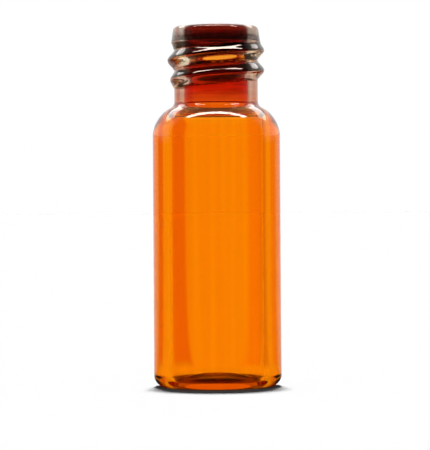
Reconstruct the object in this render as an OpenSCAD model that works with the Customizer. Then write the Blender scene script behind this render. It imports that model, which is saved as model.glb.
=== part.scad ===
// Glass sample vial with a rounded shoulder, a screw-thread neck and an open mouth.
// One piece of tube glass. The base ring stands on z = 0 and the vial's axis is Z.

/* [Body] */
// Overall height, from the base ring to the rim
vial_h = 32.5; // [30:0.5:45]
// Outer diameter of the body
body_d = 11.5; // [11:0.1:14]
// Thickness of the body wall
body_wall = 1.55; // [1:0.05:1.7]
// Outer radius of the heel, between the wall and the base ring
heel_r = 1.1; // [0.6:0.1:1.4]

/* [Base] */
// Thickness of the base at the base ring
base_t = 0.7; // [0.5:0.05:1.2]
// Inner radius of the corner between the wall and the floor
floor_corner_r = 0.4; // [0.3:0.1:1]
// Diameter of the push-up on the underside
pushup_d = 8.2; // [6:0.1:8.6]
// Height of the push-up at the middle of the underside
pushup_h = 0.4; // [0.3:0.05:0.6]
// Height that the floor rises above its edge in the middle
floor_rise = 0.6; // [0.5:0.05:0.8]
// Diameter of the dimple in the middle of the floor
dimple_d = 3.2; // [2:0.1:4]
// Depth of the dimple below its own edge
dimple_depth = 0.15; // [0.05:0.05:0.2]

/* [Shoulder] */
// Outer radius of the shoulder
shoulder_r = 3.0; // [2.2:0.1:3.2]
// Thickness of the glass at the top of the shoulder
shoulder_t = 1.1; // [0.7:0.05:1.3]
// Radius of the fillet between the shoulder and the neck
neck_fillet_r = 0.6; // [0.4:0.1:1]
// Height of the neck, from the top of the shoulder to the rim
neck_h = 7; // [6.8:0.05:9]
// Inner radius of the rounded edge where the mouth opens into the body
throat_r = 0.25; // [0.15:0.05:0.5]

/* [Neck] */
// Diameter of the mouth
mouth_d = 5.8; // [5.6:0.05:6]
// Outer diameter of the neck, which is also the root of the thread
neck_d = 7.55; // [7.3:0.05:7.6]
// Outer diameter of the land at the rim
rim_d = 7.75; // [7.55:0.05:7.8]
// Outer diameter of the land at its lower end
land_d = 8.05; // [7.8:0.05:8.1]
// Length of the land, from the rim down
land_l = 1.45; // [1.3:0.05:1.6]
// Length of the taper from the land to the neck
taper_l = 0.7; // [0.4:0.05:0.9]
// Outer radius of the rim
rim_outer_r = 0.45; // [0.3:0.05:0.5]
// Inner radius of the rim
rim_inner_r = 0.3; // [0.1:0.05:0.35]

/* [Thread] */
// Outer diameter of the thread
thread_d = 8.75; // [8.5:0.05:9]
// Rise of the thread in one turn
thread_pitch = 1.814; // [1.7:0.001:2]
// Turns of the thread, with both run-outs
thread_turns = 1.85; // [1.5:0.05:1.9]
// Width of the thread at its root
thread_w = 1.6; // [1.2:0.05:1.65]
// Distance from the rim down to the middle of the thread's top end
thread_drop = 1.66; // [1.5:0.01:1.8]
// Angle of the lower end of the thread, counter-clockwise from +X
thread_start = 155; // [0:5:355]
// Angle over which the thread grows from the neck at each end
thread_runout = 70; // [40:5:120]

/* [Hidden] */

$fn = 96;
glass_colour = [0.85, 0.40, 0.03];

// Radii of the section
body_r = body_d / 2;
cavity_r = body_r - body_wall;
neck_r = neck_d / 2;
mouth_r = mouth_d / 2;
rim_r = rim_d / 2;
land_r = land_d / 2;
thread_r = thread_d / 2;

// Levels of the section
shoulder_top = vial_h - neck_h;
cavity_top = shoulder_top - shoulder_t;
land_bottom = vial_h - land_l;
taper_bottom = land_bottom - taper_l;

// The cavity's top corner runs on into the throat's rounded edge
cavity_corner_r = cavity_r - mouth_r - throat_r;

// Length that shapes reach past what they join or cut
overlap = 0.5;

// Thread sweep: rings in one turn, points across the ridge and depth of its foot in the wall
rings_per_turn = 60;
ridge_points = 9;
thread_foot = 0.15;
rings = ceil(thread_turns * rings_per_turn);
thread_sweep = 360 * thread_turns;
thread_top = vial_h - thread_drop;
thread_bottom = thread_top - thread_pitch * thread_turns;

// Radius of the circle whose cap is as wide as d and rises by h
function cap_r(d, h) = (d * d / 4 + h * h) / (2 * h);

// Drop of a circle's edge from its top, at a distance from its middle
function sag(r, x) = r - sqrt(r * r - x * x);

// Half of a disc section with rounded outer corners, from z0 to z1
module round_section(r, z0, z1, low_r, high_r) {
    difference() {
        translate([0, z0]) square([r, z1 - z0]);
        translate([r - low_r, z0 + low_r]) outer_corner(low_r, -1);
        translate([r - high_r, z1 - high_r]) outer_corner(high_r, 1);
    }
}

// What a rounded corner takes off: side is 1 for an upper corner and -1 for a lower one,
// and tilt is how far the wall beside it leans inwards
module outer_corner(r, side, tilt = 0) {
    reach = r + overlap;
    difference() {
        polygon([
            [0, 0],
            [reach * cos(tilt), side * reach * sin(tilt)],
            [reach, side * reach],
            [0, side * reach]
        ]);
        circle(r);
    }
}

// Neck from inside the shoulder up to the flared land with its rounded rim
module neck_section() {
    corner = [rim_r - rim_outer_r, vial_h - rim_outer_r];
    drop = [land_r, land_bottom] - corner;
    tilt = atan2(drop[1], drop[0]) + acos(rim_outer_r / norm(drop));
    top_r = corner[0] + rim_outer_r * (1 - sin(tilt)) / cos(tilt);
    difference() {
        polygon([
            [0, cavity_top],
            [neck_r, cavity_top],
            [neck_r, taper_bottom],
            [land_r, land_bottom],
            [top_r, vial_h],
            [0, vial_h]
        ]);
        translate(corner) outer_corner(rim_outer_r, 1, tilt);
    }
}

// Fillet that touches both the neck and the shoulder's arc
module neck_fillet() {
    arc_r = body_r - shoulder_r;
    arc_z = shoulder_top - shoulder_r;
    fillet_x = neck_r + neck_fillet_r;
    run = fillet_x - arc_r;
    reach = shoulder_r + neck_fillet_r;
    rise = sqrt(reach * reach - run * run);
    fillet_z = arc_z + rise;
    touch = [arc_r + run * shoulder_r / reach, arc_z + rise * shoulder_r / reach];
    difference() {
        polygon([
            [0, arc_z],
            [arc_r, arc_z],
            touch,
            [fillet_x, fillet_z],
            [0, fillet_z]
        ]);
        translate([fillet_x, fillet_z]) circle(neck_fillet_r);
    }
}

// Shallow dome pushed up into the underside of the base
module pushup_section() {
    r = cap_r(pushup_d, pushup_h);
    intersection() {
        translate([0, pushup_h - r]) circle(r);
        square([pushup_d, pushup_h + overlap]);
    }
}

// Inside of the body: a domed floor with a dimple, rounded corners and an arched top
module cavity_section() {
    floor_r = cap_r(2 * (cavity_r - floor_corner_r), floor_rise);
    floor_top = base_t + floor_rise;
    dimple_r = cap_r(dimple_d, dimple_depth);
    dimple_z = floor_top - sag(floor_r, dimple_d / 2) - dimple_depth;
    difference() {
        round_section(cavity_r, base_t, cavity_top, floor_corner_r, cavity_corner_r);
        intersection() {
            translate([0, floor_top - floor_r]) circle(floor_r);
            translate([0, base_t - overlap]) square([cavity_r, floor_rise + 2 * overlap]);
        }
    }
    intersection() {
        translate([0, dimple_z + dimple_r]) circle(dimple_r);
        translate([0, dimple_z]) square([dimple_d, dimple_depth + overlap]);
    }
}

// Mouth, flared by a rounded edge at the rim and at the throat
module mouth_section() {
    translate([0, cavity_top - overlap]) square([mouth_r, vial_h - cavity_top + 2 * overlap]);
    difference() {
        translate([0, vial_h - rim_inner_r]) square([mouth_r + rim_inner_r, rim_inner_r + overlap]);
        translate([mouth_r + rim_inner_r, vial_h - rim_inner_r]) circle(rim_inner_r);
    }
    difference() {
        translate([0, cavity_top - overlap]) square([mouth_r + throat_r, throat_r + overlap]);
        translate([mouth_r + throat_r, cavity_top + throat_r]) circle(throat_r);
    }
}

// Height of the thread's ridge at a fraction of its sweep, from 0 to 1
function ridge_grow(angle) =
    let (ends = min(angle, thread_sweep - angle) / thread_runout)
    ends >= 1 ? 1 : sin(90 * max(ends, 0));

// Points across the ridge at one ring, from its lower foot to its upper foot
function ridge_ring(angle) =
    let (
        grow = ridge_grow(angle),
        foot_r = neck_r - thread_foot,
        height = thread_foot * 0.6 + (thread_r - foot_r - thread_foot * 0.6) * grow,
        half_w = thread_w / 2 * (0.6 + 0.4 * grow),
        z = thread_bottom + thread_pitch * angle / 360,
        turn = thread_start + angle
    )
    [for (k = [0 : ridge_points - 1])
        let (
            across = 2 * k / (ridge_points - 1) - 1,
            r = foot_r + height * cos(90 * across)
        )
        [r * cos(turn), r * sin(turn), z + half_w * across]];

// One ridge swept up the neck as a right-hand thread, with a run-out at each end
module thread() {
    points = [for (i = [0 : rings]) each ridge_ring(thread_sweep * i / rings)];
    ends = [
        [for (k = [ridge_points - 1 : -1 : 0]) k],
        [for (k = [0 : ridge_points - 1]) rings * ridge_points + k]
    ];
    sides = [for (i = [0 : rings - 1], k = [0 : ridge_points - 1])
        let (
            a = i * ridge_points + k,
            b = i * ridge_points + (k + 1) % ridge_points
        )
        each [[a, b, a + ridge_points], [b, b + ridge_points, a + ridge_points]]];
    polyhedron(points, concat(ends, sides));
}

// The whole vial
module vial() {
    color(glass_colour) union() {
        rotate_extrude() difference() {
            union() {
                round_section(body_r, 0, shoulder_top, heel_r, shoulder_r);
                neck_section();
                neck_fillet();
            }
            pushup_section();
            cavity_section();
            mouth_section();
        }
        thread();
    }
}

vial();
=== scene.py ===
"""Amber glass sample vial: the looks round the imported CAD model.

The glass is one mesh, turned from the same section as the CAD model in finer steps, with the
thread raised on it. Lengths are in millimetres, and MM brings them to metres.
"""
import math

import bmesh
import bpy
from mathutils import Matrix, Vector


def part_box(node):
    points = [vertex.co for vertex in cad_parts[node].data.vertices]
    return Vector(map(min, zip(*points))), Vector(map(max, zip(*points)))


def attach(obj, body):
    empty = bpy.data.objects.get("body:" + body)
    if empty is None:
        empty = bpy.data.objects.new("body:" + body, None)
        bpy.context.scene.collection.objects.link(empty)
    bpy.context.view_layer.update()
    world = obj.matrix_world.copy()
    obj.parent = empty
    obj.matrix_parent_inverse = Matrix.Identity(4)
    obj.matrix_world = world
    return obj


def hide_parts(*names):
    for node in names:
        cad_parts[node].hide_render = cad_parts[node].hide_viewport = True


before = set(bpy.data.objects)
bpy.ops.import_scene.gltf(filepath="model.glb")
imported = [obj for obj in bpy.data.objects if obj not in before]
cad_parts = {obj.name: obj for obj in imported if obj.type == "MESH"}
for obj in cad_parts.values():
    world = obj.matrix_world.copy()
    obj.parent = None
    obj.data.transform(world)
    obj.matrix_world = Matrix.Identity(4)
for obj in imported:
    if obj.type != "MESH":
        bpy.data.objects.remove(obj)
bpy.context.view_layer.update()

MM = 0.001

# The vial's section, in millimetres, as the CAD model has it
VIAL_LOW, VIAL_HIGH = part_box("vial")
VIAL_H = (VIAL_HIGH[2] - VIAL_LOW[2]) / MM
BODY_R = (VIAL_HIGH[0] - VIAL_LOW[0]) / 2 / MM
BODY_WALL = 1.55
HEEL_R = 1.1
BASE_T = 0.7
FLOOR_CORNER_R = 0.4
PUSHUP_R, PUSHUP_H = 4.1, 0.4
FLOOR_RISE = 0.6
DIMPLE_R, DIMPLE_DEPTH = 1.6, 0.15
SHOULDER_R = 3.0
SHOULDER_T = 1.1
NECK_FILLET_R = 0.6
NECK_H = 7.0
THROAT_R = 0.25
MOUTH_R = 2.9
NECK_R = 3.775
RIM_R = 3.875
LAND_R = 4.025
LAND_L = 1.45
TAPER_L = 0.7
RIM_OUTER_R = 0.45
RIM_INNER_R = 0.3

# The thread
THREAD_R = 4.375
THREAD_PITCH = 1.814
THREAD_TURNS = 1.85
THREAD_HALF_W = 0.8
THREAD_DROP = 1.66
THREAD_START = 155.0
THREAD_RUNOUT = 70.0
THREAD_FOOT = 0.15
THREAD_BLEND = 0.5

# The mesh attribute that is 1 on the inside of the glass and 0 on the outside
INSIDE = "inside"

# The glass: what each surface lets through, by height on the outside and on the inside, with painted
# shade up the neck and a painted bright band at the thread's crest
BODY_TINT = (1, 0.29, 0.0015)
CAVITY_TINT = (1, 0.96, 0.25)
OUTER_TINT_AND_SHADE_STOPS = [
    (0, BODY_TINT),
    (23.4, BODY_TINT),
    (24.6, (1, 0.4, 0.1)),
    # From here up, painted shade over the neck
    (25.4, (0.65, 0.32, 0.24)),
    (27.0, (0.65, 0.4, 0.35)),
    (29.0, (0.7, 0.55, 0.55)),
    # Painted light: a bright band at the thread's crest
    (29.3, (1.0, 0.95, 0.8)),
    (30.1, (1.0, 0.95, 0.8)),
    (30.4, (0.75, 0.65, 0.65)),
    (32.3, (0.7, 0.6, 0.6)),
]
# Inside, by height: a deep red painted shade up the neck, darkest at the land, with a painted bright
# band at the thread's crest
BORE_TINT_AND_SHADE_STOPS = [
    (0, CAVITY_TINT),
    (24.3, CAVITY_TINT),
    (24.5, (1, 0.15, 0.01)),
    (25.6, (1, 0.24, 0.02)),
    (26.8, (1, 0.03, 0.002)),
    (28.0, (0.8, 0.012, 0.001)),
    (28.6, (0.25, 0.006, 0.001)),
    (29.3, (0.2, 0.01, 0.001)),
    # Painted light: a bright band at the thread's crest
    (29.5, (1.0, 0.13, 0.001)),
    (30.0, (1.0, 0.13, 0.001)),
    (30.4, (0.15, 0.005, 0.001)),
    (31.0, (0.06, 0.001, 0.001)),
    (31.9, (0.25, 0.003, 0.002)),
    (32.3, (0.5, 0.05, 0.02)),
]

# Painted shade on the ridges is darkest past these radii, on faces that look up by these shares
CREST_FROM, CREST_FULL = 3.8, 3.95
UPPER_FROM, UPPER_FULL = -0.1, 0.15
CREST_PAINTED_SHADE = (0.01, 0.006, 0.006)

# Painted shade on the cavity's floor: by height, by how level it is and by radius
BASIN_TOP = 2.0
BASIN_STOPS = [(0.5, 0.0), (0.65, 1.0), (1.6, 1.0), (1.9, 0.0)]
LEVEL_FROM, LEVEL_FULL = 0.3, 0.5
BASIN_R = 5.0
BASIN_RINGS = [(0, 0.45), (1.2, 0.55), (2.6, 1.0)]
BASIN_PAINTED_SHADE = (0.015, 0.0015, 0.0015)

# Streaks drawn in the glass: how long they are along X, Y and Z, and how they tint it
NECK_MARKS = (3, 3, 0.25)
NECK_MARK_STOPS = [(0.35, 0.75), (0.6, 1.0)]
BODY_MARKS = (0.8, 0.8, 60)
BODY_MARK_STOPS = [(0.3, (0.97, 0.85, 0.83)), (0.7, 1.0)]
NECK_MARKS_FROM, NECK_MARKS_FULL = 0.4, 0.8

# Reflections from the outside and the inside, and the glass's own depth of colour
SPEC_TINT = (0.8, 0.62, 0.5)
BORE_SPEC_TINT = (1.0, 0.15, 0.02)
GLASS_IOR = 1.5
ABSORB_COLOUR = (1.0, 0.95, 0.8, 1)
ABSORB_DENSITY = 600

# The floor, with its radius in metres: how it looks to glass near the vial, by distance
FLOOR_R = 8.0
FLOOR_ALBEDO = 0.9
FLOOR_GLOW = 0.01
FLOOR_BOUNCE = 0.2
UNDER_REACH = 10.0
UNDER_GLOW = [(4.5, (0.8, 0.36, 0.3)), (5.5, 0.02)]
NEAR_REACH = 1000.0
NEAR_STOPS = [(30, 1.0), (60, 0.0)]

# The studio, as glass shows it: flags at the sides, from left (0) to right (1)
WORLD_LIGHT = 0.04
FLAG = (0.88, 0.52, 0.5)
DARK_FLAG = (0.8, 0.65, 0.65)
WARM = (0.99, 0.76, 0.7)
EDGE = (0.85, 0.55, 0.5)
SIDE_STOPS = [
    (0.2, 1.0),
    (0.23, FLAG),
    (0.39, FLAG),
    (0.41, 1.0),
    (0.585, 1.0),
    (0.62, WARM),
    (0.74, WARM),
    (0.76, EDGE),
    (0.775, 1.0),
    (0.88, 1.0),
    (0.91, DARK_FLAG),
]

# Seen through glass: a bright wall low down, a dark one above it, and bright side panels
THROUGH_STOPS = [
    (0.0, 1.0),
    (0.050, 1.0),
    (0.055, 0.3),
    (0.065, 0.05),
    (0.36, 0.05),
    (0.44, 1.0),
    (0.55, 1.0),
    (0.65, 0.2),
]
WING_STOPS = [(0.05, 0.0), (0.06, 1.0), (0.12, 1.0), (0.13, 0.0)]
WING_SIDES = [(0.38, 1.0), (0.43, 0.0), (0.57, 0.0), (0.62, 1.0)]

# Seen in reflections: a back wall, and a band above the floor that fades to the front
BACK_STOPS = [(0.6, 0.02), (0.766, 0.34), (0.883, 0.58), (0.96, 0.75), (1.0, 1.0)]
GLOSS_STOPS = [(0.03, 0.0), (0.07, 1.0), (0.6, 1.0), (0.8, 0.1)]
WIDE_STOPS = [(0.0, 0.04), (0.2, 1.0)]

# Soft boxes that only glass reflects: name, azimuth, elevation, then distance, width and height
# in metres, and light
LAMPS = [
    ("top", 0, 87, 0.35, 0.52, 0.06, 28),
    ("back_left", 215, 38, 0.4, 0.3, 0.1, 4),
    ("back_right", 145, 38, 0.4, 0.3, 0.1, 4),
]
LAMP_AIM = 16.0

# The sun that lights matt surfaces: name, azimuth, elevation, width, light
SUN = ("sun", 180, 80, 6, 1.06)

# The camera: the height of the view at the vial, and the camera's place, roll in degrees and
# nearest sight in metres
FRAME_H = 40.62
CAMERA_AWAY = 234.7
CAMERA_UP = 16.11
CAMERA_SHIFT = (-0.004, -0.0378)
CAMERA_ROLL = 0.38
CAMERA_NEAR = 0.01

# How often light may bounce
MOST_BOUNCES = 32
GLASS_BOUNCES = 24

# How finely the glass is divided
ROUND_STEPS = 240
ARC_STEP = math.radians(4)
NECK_STEP = 0.06
WALL_STEP = 1.0

CAVITY_R = BODY_R - BODY_WALL
CAVITY_CORNER_R = CAVITY_R - MOUTH_R - THROAT_R
SHOULDER_TOP = VIAL_H - NECK_H
SHOULDER_Z = SHOULDER_TOP - SHOULDER_R
CAVITY_TOP = SHOULDER_TOP - SHOULDER_T
LAND_BOTTOM = VIAL_H - LAND_L
TAPER_BOTTOM = LAND_BOTTOM - TAPER_L


def arc(cx, cz, r, start, end, ends=True):
    """Points round a circle's centre from one angle to another, in degrees."""
    a, b = math.radians(start), math.radians(end)
    count = max(2, math.ceil(abs(b - a) / ARC_STEP))
    points = [
        (cx + r * math.cos(a + (b - a) * i / count), cz + r * math.sin(a + (b - a) * i / count))
        for i in range(count + 1)
    ]
    return points if ends else points[1:]


def line(start, end, step):
    """Points after start, up to and with end, at most step apart."""
    length = math.dist(start, end)
    count = max(1, math.ceil(length / step))
    return [
        (start[0] + (end[0] - start[0]) * i / count, start[1] + (end[1] - start[1]) * i / count)
        for i in range(1, count + 1)
    ]


def cap_radius(half_width, height):
    """Radius of the circle whose cap has this half width and height."""
    return (half_width**2 + height**2) / (2 * height)


def sag(r, x):
    """Drop of a circle's edge from its top, at a distance from its middle."""
    return r - math.sqrt(r * r - x * x)


def cap(r, start, end, top_z, side, count=16):
    """Points on a dome (side 1) or a dish (side -1) whose middle is at top_z."""
    steps = [start + (end - start) * i / count for i in range(count + 1)]
    return [(x, top_z - side * sag(r, x)) for x in steps]


def outer_section():
    """The outside, from the middle of the push-up to the top of the rim."""
    fillet_x = NECK_R + NECK_FILLET_R
    arc_x = BODY_R - SHOULDER_R
    reach = SHOULDER_R + NECK_FILLET_R
    run = fillet_x - arc_x
    touch_angle = math.degrees(math.acos(run / reach))
    fillet_z = SHOULDER_Z + math.sqrt(reach**2 - run**2)
    points = cap(cap_radius(PUSHUP_R, PUSHUP_H), 0, PUSHUP_R, PUSHUP_H, 1)
    points += line(points[-1], (BODY_R - HEEL_R, 0), 0.35)
    points += arc(BODY_R - HEEL_R, HEEL_R, HEEL_R, -90, 0, False)
    points += line(points[-1], (BODY_R, SHOULDER_Z), WALL_STEP)
    points += arc(arc_x, SHOULDER_Z, SHOULDER_R, 0, touch_angle, False)
    points += arc(fillet_x, fillet_z, NECK_FILLET_R, touch_angle - 180, -180, False)
    points += line(points[-1], (NECK_R, TAPER_BOTTOM), NECK_STEP)
    points += line(points[-1], (LAND_R, LAND_BOTTOM), NECK_STEP)
    rim_x, rim_z = RIM_R - RIM_OUTER_R, VIAL_H - RIM_OUTER_R
    drop = math.hypot(LAND_R - rim_x, LAND_BOTTOM - rim_z)
    tilt = math.atan2(LAND_BOTTOM - rim_z, LAND_R - rim_x) + math.acos(RIM_OUTER_R / drop)
    rim = arc(rim_x, rim_z, RIM_OUTER_R, math.degrees(tilt), 90)
    points += line(points[-1], rim[0], NECK_STEP)
    points += rim[1:]
    return points


def inner_section():
    """The inside, from the top of the rim to the middle of the floor."""
    points = line((RIM_R - RIM_OUTER_R, VIAL_H), (MOUTH_R + RIM_INNER_R, VIAL_H), 0.1)
    points += arc(MOUTH_R + RIM_INNER_R, VIAL_H - RIM_INNER_R, RIM_INNER_R, 90, 180, False)
    points += line(points[-1], (MOUTH_R, CAVITY_TOP + THROAT_R), 0.3)
    points += arc(MOUTH_R + THROAT_R, CAVITY_TOP + THROAT_R, THROAT_R, 180, 270, False)
    corner_x = CAVITY_R - CAVITY_CORNER_R
    points += arc(corner_x, CAVITY_TOP - CAVITY_CORNER_R, CAVITY_CORNER_R, 90, 0, False)
    points += line(points[-1], (CAVITY_R, BASE_T + FLOOR_CORNER_R), WALL_STEP)
    floor_x = CAVITY_R - FLOOR_CORNER_R
    points += arc(floor_x, BASE_T + FLOOR_CORNER_R, FLOOR_CORNER_R, 0, -90, False)
    floor_r = cap_radius(floor_x, FLOOR_RISE)
    points += cap(floor_r, floor_x, DIMPLE_R, BASE_T + FLOOR_RISE, 1)[1:]
    dimple_z = points[-1][1] - DIMPLE_DEPTH
    points += cap(cap_radius(DIMPLE_R, DIMPLE_DEPTH), DIMPLE_R, 0, dimple_z, -1)[1:]
    return points


def ridge_radius(turn, z):
    """Radius of the thread's ridge at an angle, in degrees, and a height."""
    sweep = 360 * THREAD_TURNS
    low = VIAL_H - THREAD_DROP - THREAD_PITCH * THREAD_TURNS
    foot_r = NECK_R - THREAD_FOOT
    best = 0.0
    for lap in range(3):
        along = (turn - THREAD_START) % 360 + 360 * lap
        if along > sweep:
            break
        ends = min(1.0, min(along, sweep - along) / THREAD_RUNOUT)
        grow = math.sin(math.pi / 2 * ends)
        half_w = THREAD_HALF_W * (0.6 + 0.4 * grow)
        across = (z - low - THREAD_PITCH * along / 360) / half_w
        if abs(across) < 1:
            height = THREAD_FOOT * 0.6 + (THREAD_R - foot_r - THREAD_FOOT * 0.6) * grow
            best = max(best, foot_r + height * math.cos(math.pi / 2 * across))
    return best


def blended(a, b, width):
    """The larger of two radii, with a soft fillet where they are close."""
    near = max(width - abs(a - b), 0) / width
    return max(a, b) + near * near * width / 4


def lathe(name, section, outline_points):
    """A closed mesh turned round Z; the thread is raised on the first outline_points."""
    rings = []
    mesh = bmesh.new()
    inside = mesh.verts.layers.float.new(INSIDE)
    for index, (r, z) in enumerate(section):
        ring = []
        if r < 1e-6:
            ring.append(mesh.verts.new((0, 0, z * MM)))
        for i in range(ROUND_STEPS if r > 1e-6 else 0):
            turn = 360 * i / ROUND_STEPS
            reach = r
            if index < outline_points and SHOULDER_TOP < z < VIAL_H - RIM_OUTER_R:
                reach = blended(r, ridge_radius(turn, z), THREAD_BLEND)
            angle = math.radians(turn)
            ring.append(
                mesh.verts.new((reach * math.cos(angle) * MM, reach * math.sin(angle) * MM, z * MM))
            )
        for corner in ring:
            corner[inside] = float(index >= outline_points)
        rings.append(ring)
    for low, high in zip(rings, rings[1:]):
        for i in range(ROUND_STEPS):
            j = (i + 1) % ROUND_STEPS
            corners = [low[i % len(low)], low[j % len(low)], high[j % len(high)], high[i % len(high)]]
            mesh.faces.new(list(dict.fromkeys(corners)))
    for face in mesh.faces:
        face.smooth = True
    bmesh.ops.recalc_face_normals(mesh, faces=mesh.faces[:])
    data = bpy.data.meshes.new(name)
    mesh.to_mesh(data)
    mesh.free()
    piece = bpy.data.objects.new(name, data)
    bpy.context.scene.collection.objects.link(piece)
    return piece


def ramp_of(nodes, links, value, stops):
    """A ramp over a value; stops are places and their grey levels or colours."""
    ramp = nodes.new("ShaderNodeValToRGB")
    links.new(value, ramp.inputs[0])
    marks = ramp.color_ramp.elements
    while len(marks) < len(stops):
        marks.new(0.5)
    for mark, (place, level) in zip(marks, stops):
        mark.position = place
        mark.color = (*level, 1) if isinstance(level, tuple) else (level, level, level, 1)
    return ramp.outputs[0]


def scaled(nodes, links, value, low, high):
    """A value brought from low..high to 0..1."""
    level = nodes.new("ShaderNodeMapRange")
    links.new(value, level.inputs["Value"])
    level.inputs["From Min"].default_value = low
    level.inputs["From Max"].default_value = high
    return level.outputs["Result"]


def length_ramp(nodes, links, value, reach, stops):
    """A ramp over a length; its stops are in millimetres, from 0 to reach."""
    share = scaled(nodes, links, value, 0, reach * MM)
    return ramp_of(nodes, links, share, [(place / reach, level) for place, level in stops])


def blend(nodes, links, share, first, second):
    """From the first value or colour to the second as share goes from 0 to 1."""
    mix = nodes.new("ShaderNodeMix")
    mix.data_type = "RGBA"
    links.new(share, mix.inputs["Factor"])
    for value, place in ((first, 6), (second, 7)):
        if isinstance(value, (int, float)):
            mix.inputs[place].default_value = (value, value, value, 1)
        else:
            links.new(value, mix.inputs[place])
    return mix.outputs[2]


def ray_mix(nodes, links, kind, other, own):
    """One colour for other rays and its own for one kind of ray."""
    path = nodes.new("ShaderNodeLightPath")
    return blend(nodes, links, path.outputs[kind], other, own)


def join(nodes, links, operation, first, second):
    """Two values or colours, joined one channel at a time."""
    both = nodes.new("ShaderNodeVectorMath")
    both.operation = operation
    for value, place in ((first, 0), (second, 1)):
        if isinstance(value, (int, float)):
            value = (value, value, value)
        if isinstance(value, tuple):
            both.inputs[place].default_value = value
        else:
            links.new(value, both.inputs[place])
    return both.outputs[0]


def parts(nodes, links, vector):
    """A vector's X, Y and Z."""
    split = nodes.new("ShaderNodeSeparateXYZ")
    links.new(vector, split.inputs[0])
    return split.outputs["X"], split.outputs["Y"], split.outputs["Z"]


def length_of(nodes, links, vector):
    """A vector's length."""
    length = nodes.new("ShaderNodeVectorMath")
    length.operation = "LENGTH"
    links.new(vector, length.inputs[0])
    return length.outputs["Value"]


def directions(nodes, links, vector):
    """A vector's parts over its length: across from 0 (left) to 1 (right), along and up."""
    unit = nodes.new("ShaderNodeVectorMath")
    unit.operation = "NORMALIZE"
    links.new(vector, unit.inputs[0])
    across, along, up = parts(nodes, links, unit.outputs[0])
    return scaled(nodes, links, across, -1, 1), along, up


def streaks(nodes, links, coords, size, stops):
    """Soft streaks drawn out along the directions in which size is long, in millimetres."""
    grid = nodes.new("ShaderNodeMapping")
    grid.inputs["Scale"].default_value = [1 / (length * MM) for length in size]
    links.new(coords, grid.inputs["Vector"])
    noise = nodes.new("ShaderNodeTexNoise")
    noise.inputs["Scale"].default_value = 1.0
    noise.inputs["Detail"].default_value = 2.0
    links.new(grid.outputs[0], noise.inputs["Vector"])
    return ramp_of(nodes, links, noise.outputs["Fac"], stops)


def is_inside(nodes):
    """1 on the inside of the glass and 0 on the outside."""
    mark = nodes.new("ShaderNodeAttribute")
    mark.attribute_name = INSIDE
    return mark.outputs["Fac"]


def ridge_painted_shade(nodes, links, radius, facing_up):
    """Painted shade on the upper flanks of the thread, and clear elsewhere."""
    crest = scaled(nodes, links, radius, CREST_FROM * MM, CREST_FULL * MM)
    upper = scaled(nodes, links, facing_up, UPPER_FROM, UPPER_FULL)
    ridge = join(nodes, links, "MULTIPLY", crest, upper)
    return ramp_of(nodes, links, ridge, [(0, 1.0), (1, CREST_PAINTED_SHADE)])


def basin_painted_shade(nodes, links, height, radius, facing_up):
    """Painted shade on the cavity's floor, most of all round its edge, and clear elsewhere."""
    by_height = length_ramp(nodes, links, height, BASIN_TOP, BASIN_STOPS)
    level = scaled(nodes, links, facing_up, LEVEL_FROM, LEVEL_FULL)
    rings = length_ramp(nodes, links, radius, BASIN_R, BASIN_RINGS)
    basin = join(nodes, links, "MULTIPLY", join(nodes, links, "MULTIPLY", by_height, level), rings)
    return ramp_of(nodes, links, basin, [(0, 1.0), (1, BASIN_PAINTED_SHADE)])


def glass_tint_and_painted_light(nodes, links):
    """What each surface lets through: amber in the body; in the neck a painted deep red shade with a
    painted bright band, and painted shade on the ridges' upper flanks and the cavity's floor.
    """
    place = nodes.new("ShaderNodeTexCoord").outputs["Object"]
    normal = nodes.new("ShaderNodeTexCoord").outputs["Normal"]
    height = parts(nodes, links, place)[2]
    facing_up = parts(nodes, links, normal)[2]
    radius = length_of(nodes, links, join(nodes, links, "MULTIPLY", place, (1, 1, 0)))
    # Tints by height, with painted shade up the neck and a painted bright band at the thread's crest
    outer = length_ramp(nodes, links, height, VIAL_H, OUTER_TINT_AND_SHADE_STOPS)
    bore = length_ramp(nodes, links, height, VIAL_H, BORE_TINT_AND_SHADE_STOPS)
    by_height = blend(nodes, links, is_inside(nodes), outer, bore)
    # Painted shade on the cavity's floor
    basin_shade = basin_painted_shade(nodes, links, height, radius, facing_up)
    marks = streaks(nodes, links, place, NECK_MARKS, NECK_MARK_STOPS)
    # Painted shade on the ridges' upper flanks, over the neck's streaks
    neck = join(nodes, links, "MULTIPLY", ridge_painted_shade(nodes, links, radius, facing_up), marks)
    body = streaks(nodes, links, place, BODY_MARKS, BODY_MARK_STOPS)
    marks_from = (SHOULDER_TOP + NECK_MARKS_FROM) * MM
    marks_full = (SHOULDER_TOP + NECK_MARKS_FULL) * MM
    in_neck = scaled(nodes, links, height, marks_from, marks_full)
    detail = blend(nodes, links, in_neck, body, neck)
    # The tints with their painted shade and bright band, then the streaks and the ridges' painted shade
    own = join(nodes, links, "MULTIPLY", by_height, basin_shade)
    return join(nodes, links, "MULTIPLY", own, detail)


def amber_glass():
    """Smooth amber glass, tinted where light passes its surfaces and a little by its depth, with
    painted shade and light in its neck, on its ridges and on the cavity's floor.
    """
    material = bpy.data.materials.new("amber_glass")
    material.use_nodes = True
    nodes = material.node_tree.nodes
    links = material.node_tree.links
    surface = nodes["Principled BSDF"]
    links.new(glass_tint_and_painted_light(nodes, links), surface.inputs["Base Color"])
    surface.inputs["Roughness"].default_value = 0.0
    surface.inputs["IOR"].default_value = GLASS_IOR
    surface.inputs["Transmission Weight"].default_value = 1.0
    gloss = ramp_of(nodes, links, is_inside(nodes), [(0, SPEC_TINT), (1, BORE_SPEC_TINT)])
    links.new(gloss, surface.inputs["Specular Tint"])
    absorb = nodes.new("ShaderNodeVolumeAbsorption")
    absorb.inputs["Color"].default_value = ABSORB_COLOUR
    absorb.inputs["Density"].default_value = ABSORB_DENSITY
    links.new(absorb.outputs["Volume"], nodes["Material Output"].inputs["Volume"])
    return material


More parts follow.
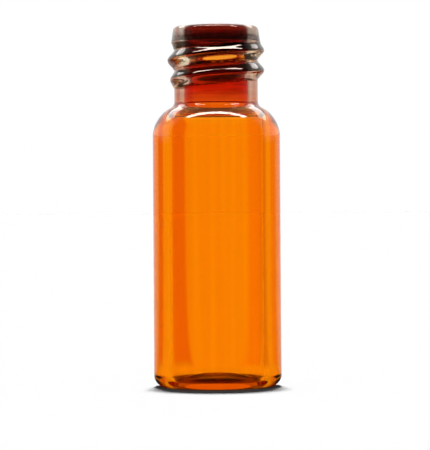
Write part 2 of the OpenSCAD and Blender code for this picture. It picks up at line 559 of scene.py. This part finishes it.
def floor_white():
    """A matt white floor that keeps its shadow; glass shows it as it shows the studio."""
    material = bpy.data.materials.new("floor_white")
    material.use_nodes = True
    nodes = material.node_tree.nodes
    links = material.node_tree.links
    surface = nodes["Principled BSDF"]
    place = nodes.new("ShaderNodeTexCoord").outputs["Object"]
    across, along, _ = directions(nodes, links, place)
    reach = length_of(nodes, links, place)
    near = length_ramp(nodes, links, reach, NEAR_REACH, NEAR_STOPS)
    sides = ramp_of(nodes, links, across, SIDE_STOPS)
    through = join(nodes, links, "MAXIMUM", sides, near)
    gloss = ramp_of(nodes, links, along, BACK_STOPS)
    share = ray_mix(nodes, links, "Is Glossy Ray", 1, gloss)
    share = ray_mix(nodes, links, "Is Transmission Ray", share, through)
    share = ray_mix(nodes, links, "Diffuse Depth", share, FLOOR_BOUNCE)
    share = ray_mix(nodes, links, "Is Camera Ray", share, 1)
    links.new(join(nodes, links, "MULTIPLY", share, FLOOR_ALBEDO), surface.inputs["Base Color"])
    under = length_ramp(nodes, links, reach, UNDER_REACH, UNDER_GLOW)
    glow = ray_mix(nodes, links, "Is Transmission Ray", FLOOR_GLOW, under)
    links.new(join(nodes, links, "MULTIPLY", share, glow), surface.inputs["Emission Color"])
    surface.inputs["Emission Strength"].default_value = 1.0
    surface.inputs["Roughness"].default_value = 1.0
    surface.inputs["Specular IOR Level"].default_value = 0.0
    return material


def make_world():
    """A soft studio: white to the eye, with walls, panels and flags that only glass shows."""
    world = bpy.data.worlds.new("studio")
    bpy.context.scene.world = world
    world.use_nodes = True
    nodes = world.node_tree.nodes
    links = world.node_tree.links
    coords = nodes.new("ShaderNodeTexCoord").outputs["Generated"]
    across, along, up = directions(nodes, links, coords)
    wall = ramp_of(nodes, links, up, THROUGH_STOPS)
    wing_height = ramp_of(nodes, links, up, WING_STOPS)
    wing_place = ramp_of(nodes, links, across, WING_SIDES)
    wings = join(nodes, links, "MULTIPLY", wing_height, wing_place)
    sides = ramp_of(nodes, links, across, SIDE_STOPS)
    through = join(nodes, links, "MULTIPLY", join(nodes, links, "MAXIMUM", wall, wings), sides)
    band = ramp_of(nodes, links, up, GLOSS_STOPS)
    fade = ramp_of(nodes, links, along, WIDE_STOPS)
    back = ramp_of(nodes, links, along, BACK_STOPS)
    gloss = join(nodes, links, "MAXIMUM", join(nodes, links, "MULTIPLY", band, fade), back)
    colour = ray_mix(nodes, links, "Is Glossy Ray", WORLD_LIGHT, gloss)
    colour = ray_mix(nodes, links, "Is Transmission Ray", colour, through)
    colour = ray_mix(nodes, links, "Diffuse Depth", colour, WORLD_LIGHT)
    colour = ray_mix(nodes, links, "Is Camera Ray", colour, 1)
    background = nodes["Background"]
    links.new(colour, background.inputs["Color"])
    background.inputs["Strength"].default_value = 1.0


def direction(azimuth, elevation):
    """The direction towards a place in the sky; azimuth 0 is in front of the vial."""
    a, e = math.radians(azimuth), math.radians(elevation)
    return Vector((math.sin(a) * math.cos(e), -math.cos(a) * math.cos(e), math.sin(e)))


def add_light(name, data, out):
    """A light that shines from the direction out."""
    light = bpy.data.objects.new(name, data)
    bpy.context.scene.collection.objects.link(light)
    light.rotation_euler = out.to_track_quat("Z", "Y").to_euler()
    return light


def add_lamp(name, azimuth, elevation, distance, size_x, size_y, radiance):
    """A soft box that only glass reflects; radiance 1 is white. It lights nothing else."""
    data = bpy.data.lights.new(name, "AREA")
    data.shape = "RECTANGLE"
    data.size = size_x
    data.size_y = size_y
    data.energy = radiance * math.pi * size_x * size_y
    data.use_nodes = True
    nodes = data.node_tree.nodes
    links = data.node_tree.links
    links.new(ray_mix(nodes, links, "Diffuse Depth", 1, 0), nodes["Emission"].inputs["Color"])
    out = direction(azimuth, elevation)
    lamp = add_light(name, data, out)
    lamp.location = Vector((0, 0, LAMP_AIM * MM)) + out * distance
    lamp.visible_diffuse = False
    lamp.visible_transmission = False


def add_sun(name, azimuth, elevation, width, light):
    """A wide soft sun for matt surfaces; light is what it adds to a white floor."""
    data = bpy.data.lights.new(name, "SUN")
    data.angle = math.radians(width)
    out = direction(azimuth, elevation)
    data.energy = light * math.pi / out.z
    sun = add_light(name, data, out)
    sun.visible_glossy = False
    sun.visible_transmission = False


def make_stage():
    """A wide pale floor under a soft studio."""
    bpy.ops.mesh.primitive_circle_add(vertices=96, radius=FLOOR_R, fill_type="NGON", location=(0, 0, 0))
    floor = bpy.context.object
    floor.name = "floor"
    floor.data.materials.append(floor_white())
    make_world()
    for lamp in LAMPS:
        add_lamp(*lamp)
    add_sun(*SUN)


def make_camera():
    """A level camera in front of the vial, at the photograph's distance."""
    data = bpy.data.cameras.new("camera")
    data.sensor_width = 36
    data.lens = data.sensor_width * CAMERA_AWAY / FRAME_H
    data.shift_x, data.shift_y = CAMERA_SHIFT
    camera = bpy.data.objects.new("camera", data)
    bpy.context.scene.collection.objects.link(camera)
    camera.location = (0, -CAMERA_AWAY * MM, CAMERA_UP * MM)
    camera.rotation_euler = (math.radians(90), math.radians(CAMERA_ROLL), 0)
    data.clip_start = CAMERA_NEAR
    bpy.context.scene.camera = camera


def set_light_paths():
    """Enough bounces for light that runs round inside the thick base and neck."""
    paths = bpy.context.scene.cycles
    paths.max_bounces = MOST_BOUNCES
    paths.glossy_bounces = GLASS_BOUNCES
    paths.transmission_bounces = GLASS_BOUNCES


outside = outer_section()
glass = lathe("vial_glass", outside + inner_section(), len(outside))
glass.data.materials.append(amber_glass())
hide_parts("vial")
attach(glass, "root")

make_stage()
make_camera()
set_light_paths()
bpy.context.scene.view_settings.view_transform = "Standard"
